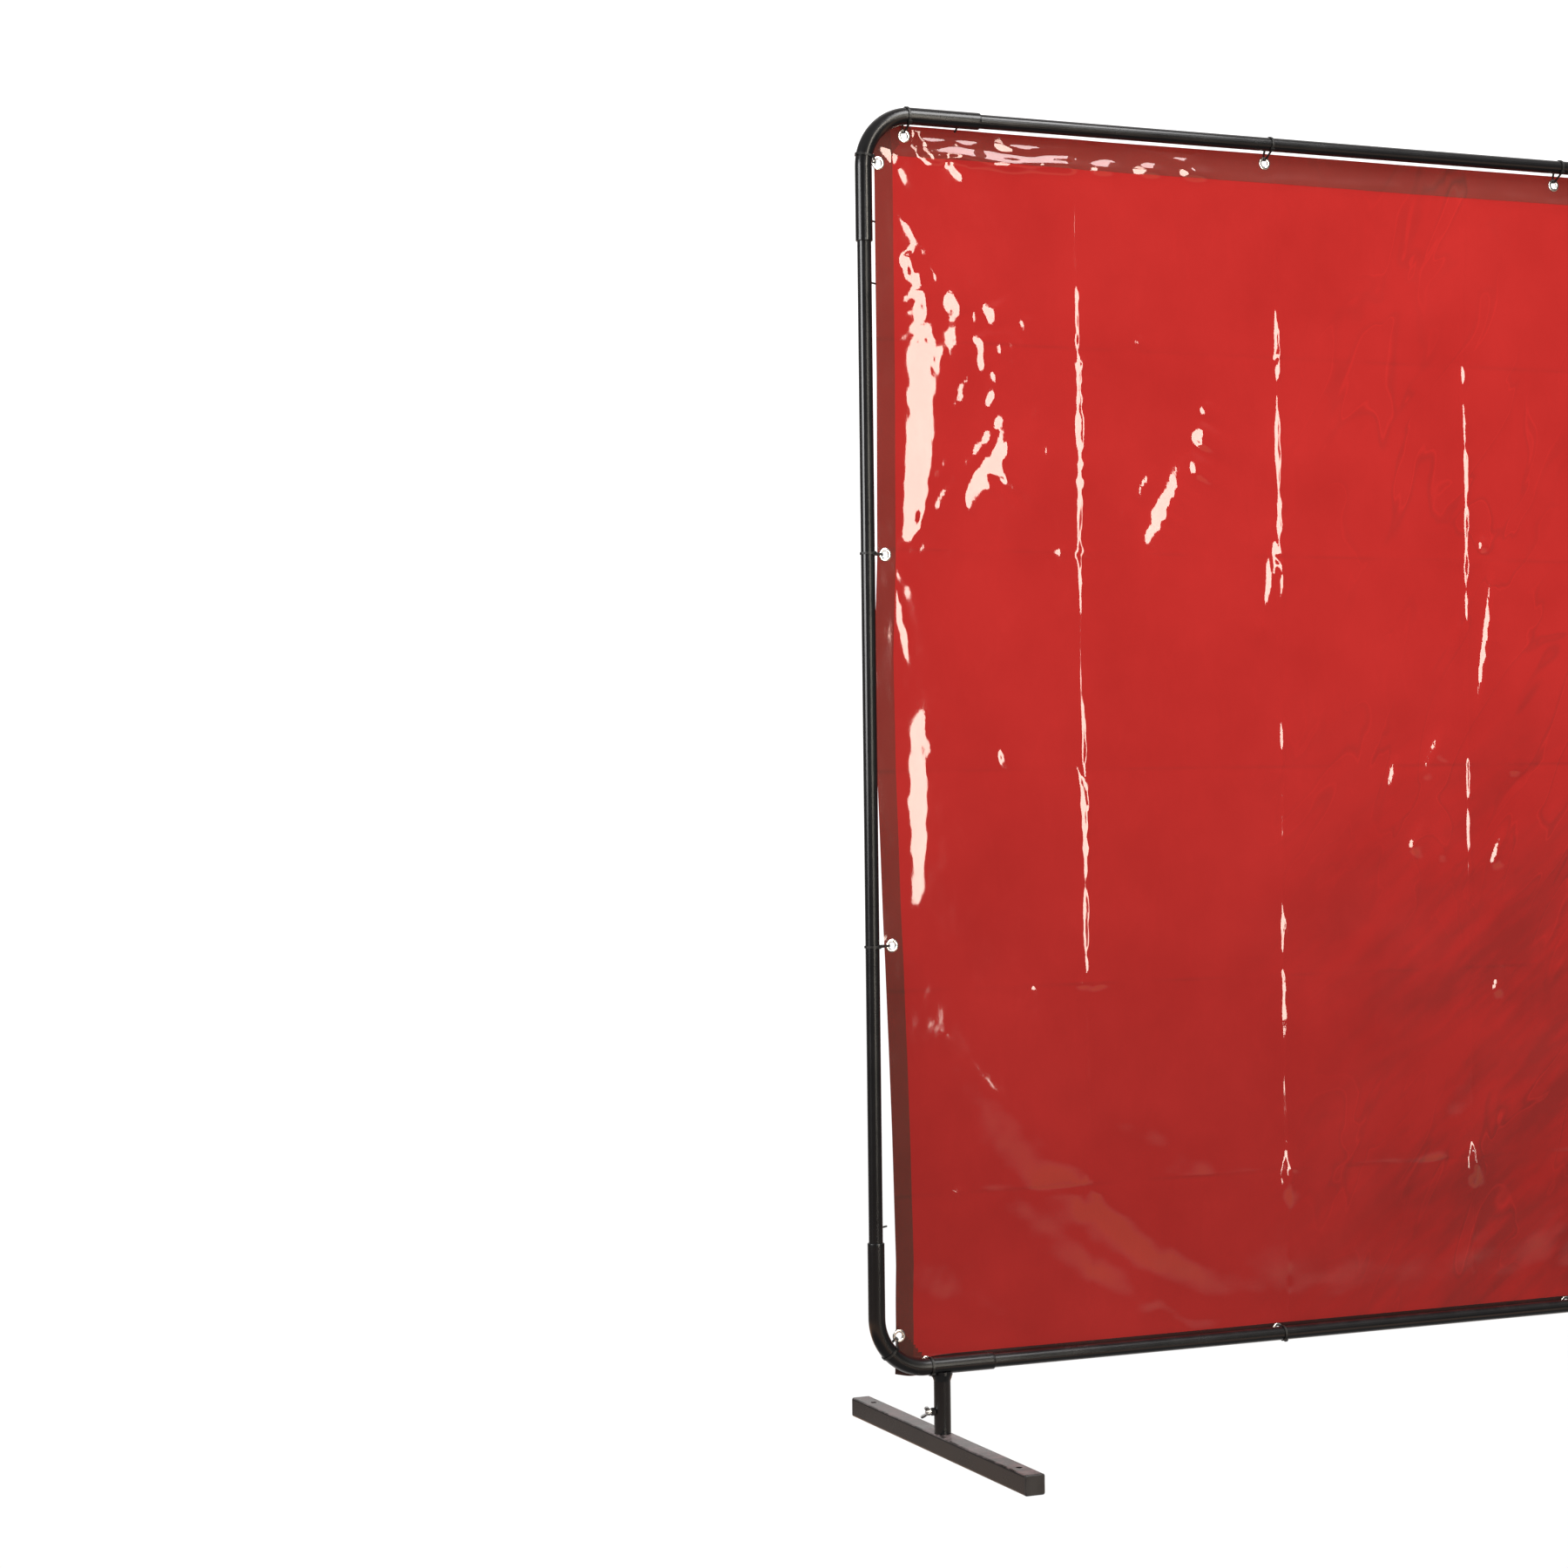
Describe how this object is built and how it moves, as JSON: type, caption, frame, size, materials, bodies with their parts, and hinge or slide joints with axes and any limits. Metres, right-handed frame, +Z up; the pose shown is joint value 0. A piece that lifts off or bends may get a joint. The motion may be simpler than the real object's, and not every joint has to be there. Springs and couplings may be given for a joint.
{
  "type": "welding curtain screen",
  "caption": "Free-standing welding screen: tube frame with bent corner sleeves on swivelling feet, with a translucent red PVC curtain laced in by cable ties.",
  "frame": {"origin": "on the floor, midway between the two feet and under the frame's axis plane", "axes": "+Z up, +X along the rails to the viewer's right, -Y towards the front, the side away from the curtain's plane"},
  "size_m": [1.8644, 0.565, 1.8973],
  "materials": {
    "frame_powder_coat": "gloss black powder coat",
    "foot_powder_coat": "satin brown-black powder coat",
    "cap_plastic": "moulded black plastic",
    "curtain_pvc": "glossy translucent red film with fold creases and welded hems",
    "eyelet_nickel": "bright nickel plate",
    "tie_nylon": "black nylon",
    "screw_zinc": "zinc plate"
  },
  "bodies": {
    "frame": {"top_rail": "frame_powder_coat", "bottom_rail": "frame_powder_coat", "left_upright": "frame_powder_coat", "right_upright": "frame_powder_coat", "top_left_elbow": "frame_powder_coat", "top_right_elbow": "frame_powder_coat", "bottom_left_elbow": "frame_powder_coat", "bottom_right_elbow": "frame_powder_coat", "left_leg": "frame_powder_coat", "right_leg": "frame_powder_coat", "left_leg_nut": "frame_powder_coat", "right_leg_nut": "frame_powder_coat", "curtain": "curtain_pvc", "eyelet_top_1": "eyelet_nickel", "eyelet_top_2": "eyelet_nickel", "eyelet_top_3": "eyelet_nickel", "eyelet_top_4": "eyelet_nickel", "eyelet_bottom_1": "eyelet_nickel", "eyelet_bottom_2": "eyelet_nickel", "eyelet_bottom_3": "eyelet_nickel", "eyelet_bottom_4": "eyelet_nickel", "eyelet_left_1": "eyelet_nickel", "eyelet_left_2": "eyelet_nickel", "eyelet_left_3": "eyelet_nickel", "eyelet_left_4": "eyelet_nickel", "eyelet_right_1": "eyelet_nickel", "eyelet_right_2": "eyelet_nickel", "eyelet_right_3": "eyelet_nickel", "eyelet_right_4": "eyelet_nickel", "tie_top_1": "tie_nylon", "tie_top_2": "tie_nylon", "tie_top_3": "tie_nylon", "tie_top_4": "tie_nylon", "tie_bottom_1": "tie_nylon", "tie_bottom_2": "tie_nylon", "tie_bottom_3": "tie_nylon", "tie_bottom_4": "tie_nylon", "tie_left_1": "tie_nylon", "tie_left_2": "tie_nylon", "tie_left_3": "tie_nylon", "tie_left_4": "tie_nylon", "tie_right_1": "tie_nylon", "tie_right_2": "tie_nylon", "tie_right_3": "tie_nylon", "tie_right_4": "tie_nylon"},
    "left_foot": {"left_foot_beam": "foot_powder_coat", "left_foot_spigot": "foot_powder_coat", "left_foot_front_cap": "cap_plastic", "left_foot_back_cap": "cap_plastic"},
    "right_foot": {"right_foot_beam": "foot_powder_coat", "right_foot_spigot": "foot_powder_coat", "right_foot_front_cap": "cap_plastic", "right_foot_back_cap": "cap_plastic"},
    "left_screw": {"left_screw_shank": "screw_zinc"},
    "left_wing": {"left_wing_head": "screw_zinc"},
    "right_screw": {"right_screw_shank": "screw_zinc"},
    "right_wing": {"right_wing_head": "screw_zinc"}
  },
  "joints": [
    {"name": "left_foot_swivel", "type": "hinge", "parent": "frame", "child": "left_foot", "pos_m": [-0.82, 0, 0.06], "axis": [0, 0, 1], "continuous": true},
    {"name": "left_screw_travel", "type": "slide", "parent": "frame", "child": "left_screw", "axis": [-1, 0, 0], "range_m": [0, 0.002]},
    {"name": "left_wing_turn", "type": "hinge", "parent": "left_screw", "child": "left_wing", "pos_m": [-0.8393, 0, 0.06], "axis": [-1, 0, 0], "range_deg": [0, 720]},
    {"name": "right_foot_swivel", "type": "hinge", "parent": "frame", "child": "right_foot", "pos_m": [0.82, 0, 0.06], "axis": [0, 0, 1], "continuous": true},
    {"name": "right_screw_travel", "type": "slide", "parent": "frame", "child": "right_screw", "axis": [1, 0, 0], "range_m": [0, 0.002]},
    {"name": "right_wing_turn", "type": "hinge", "parent": "right_screw", "child": "right_wing", "pos_m": [0.8393, 0, 0.06], "axis": [1, 0, 0], "range_deg": [0, 720]}
  ],
  "couplings": [
    {"joint": "left_screw_travel", "follows": "left_wing_turn", "m_per_rad": 0.000159},
    {"joint": "right_screw_travel", "follows": "right_wing_turn", "m_per_rad": 0.000159}
  ]
}
